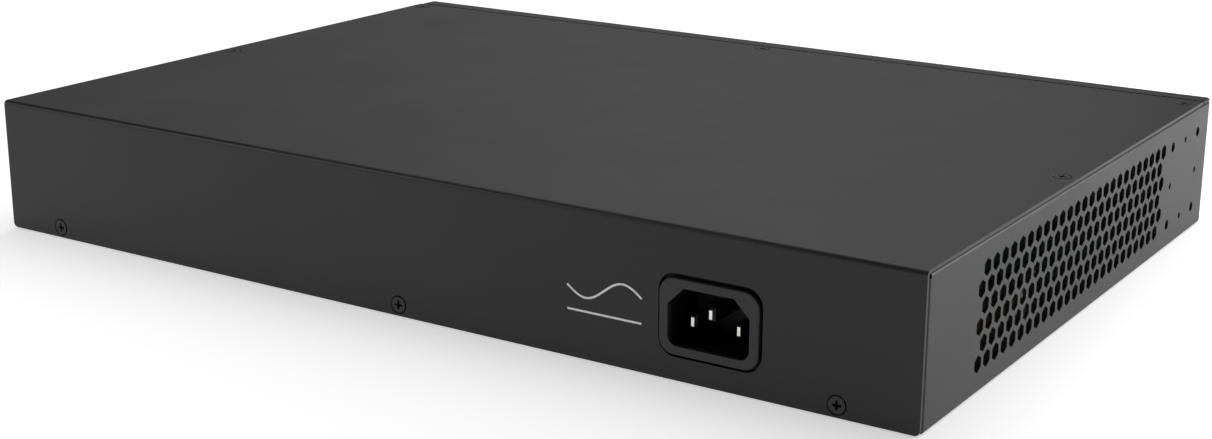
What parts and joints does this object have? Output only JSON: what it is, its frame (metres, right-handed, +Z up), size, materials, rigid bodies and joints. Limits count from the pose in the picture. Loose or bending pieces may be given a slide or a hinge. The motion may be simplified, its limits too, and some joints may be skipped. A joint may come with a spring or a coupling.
{
  "type": "rackmount network switch",
  "caption": "Rackmount network switch in a low steel case with side vents, rack-ear holes, a rear mains inlet, front jacks and fibre cages, and cooling fans.",
  "frame": {"origin": "centre of the underside", "axes": "+X to the right seen from the front, -Y out of the front panel, +Z up"},
  "size_m": [0.33, 0.23, 0.0435],
  "materials": {
    "case_paint": "fine textured black powder coat",
    "screw_black": "black plated steel",
    "inlet_plastic": "moulded black plastic",
    "pin_plate": "bright plated",
    "bracket_black": "black painted steel",
    "zinc_plate": "zinc plated",
    "shield_steel": "tin plated shield",
    "shaft_steel": "ground",
    "board_green": "solder resist on glass fibre board",
    "board_tan": "bare laminate",
    "jack_plastic": "moulded black plastic",
    "contact_gold": "gold plated",
    "light_plastic": "milky light guide",
    "chip_light": "small light chip",
    "button_plastic": "moulded black plastic",
    "fan_plastic": "moulded black plastic",
    "coil_copper": "enamelled copper",
    "stator_steel": "laminated steel",
    "ferrite": "sintered ferrite",
    "tape_yellow": "polyester tape",
    "heatsink_aluminium": "mill finish",
    "heatsink_black": "black anodised",
    "chip_black": "moulded epoxy",
    "can_sleeve": "printed sleeve without print",
    "can_aluminium": "bare can",
    "header_white": "natural nylon",
    "terminal_sleeve": "soft insulating sleeve",
    "sheet_clear": "smoked insulating film",
    "fuse_glass": "glass tube with plated caps",
    "wire_brown": "insulated wire",
    "wire_blue": "insulated wire",
    "wire_green": "insulated wire",
    "cable_black": "sleeved cable"
  },
  "bodies": {
    "case": {"board_capacitors": "can_aluminium", "board_headers": "header_white", "board_screws": "zinc_plate", "bulk_capacitor": "can_sleeve", "chip_heatsink": "heatsink_black", "choke_core": "ferrite", "choke_winding": "coil_copper", "cover": "case_paint", "cover_screws": "screw_black", "earth_lug": "zinc_plate", "earth_nut": "zinc_plate", "earth_stud": "zinc_plate", "earth_wire": "wire_green", "fan_cable_front": "cable_black", "fan_cable_rear": "cable_black", "fan_frame_front": "fan_plastic", "fan_frame_rear": "fan_plastic", "fan_screws": "screw_black", "fan_stator_front": "stator_steel", "fan_stator_rear": "stator_steel", "fibre_cages": "shield_steel", "fibre_connectors": "jack_plastic", "inlet_body": "inlet_plastic", "inlet_bracket": "bracket_black", "inlet_pins": "pin_plate", "inlet_receptacles": "terminal_sleeve", "insulator_sheet": "sheet_clear", "jack_contacts_left": "contact_gold", "jack_contacts_right": "contact_gold", "jack_insert_left": "jack_plastic", "jack_insert_right": "jack_plastic", "jack_lights": "light_plastic", "jack_shell_left": "shield_steel", "jack_shell_right": "shield_steel", "light_chips": "chip_light", "light_pipes": "light_plastic", "line_capacitor": "tape_yellow", "line_magnetics": "chip_black", "line_wire": "wire_brown", "main_board": "board_green", "mains_fuse": "fuse_glass", "neutral_wire": "wire_blue", "output_capacitors": "can_sleeve", "port_chips": "chip_black", "power_board": "board_tan", "power_heatsinks": "heatsink_aluminium", "power_transistors": "chip_black", "rear_screws": "screw_black", "reset_switch": "jack_plastic", "standoffs": "zinc_plate", "supply_cable": "cable_black", "switch_chip": "chip_black", "transformer_core": "ferrite", "transformer_winding": "tape_yellow", "tray": "case_paint"},
    "rotor_front": {"fan_rotor_front": "fan_plastic", "fan_shaft_front": "shaft_steel"},
    "rotor_rear": {"fan_rotor_rear": "fan_plastic", "fan_shaft_rear": "shaft_steel"},
    "button": {"reset_button": "button_plastic"}
  },
  "joints": [
    {"name": "front_fan_spin", "type": "hinge", "parent": "case", "child": "rotor_front", "pos_m": [0.153, 0.035, 0.0211], "axis": [1, 0, 0], "continuous": true},
    {"name": "rear_fan_spin", "type": "hinge", "parent": "case", "child": "rotor_rear", "pos_m": [0.153, 0.08, 0.0211], "axis": [1, 0, 0], "continuous": true},
    {"name": "reset_press", "type": "slide", "parent": "case", "child": "button", "axis": [0, 1, 0], "range_m": [0, 0.0006], "stiffness_N_per_m": 3000}
  ]
}
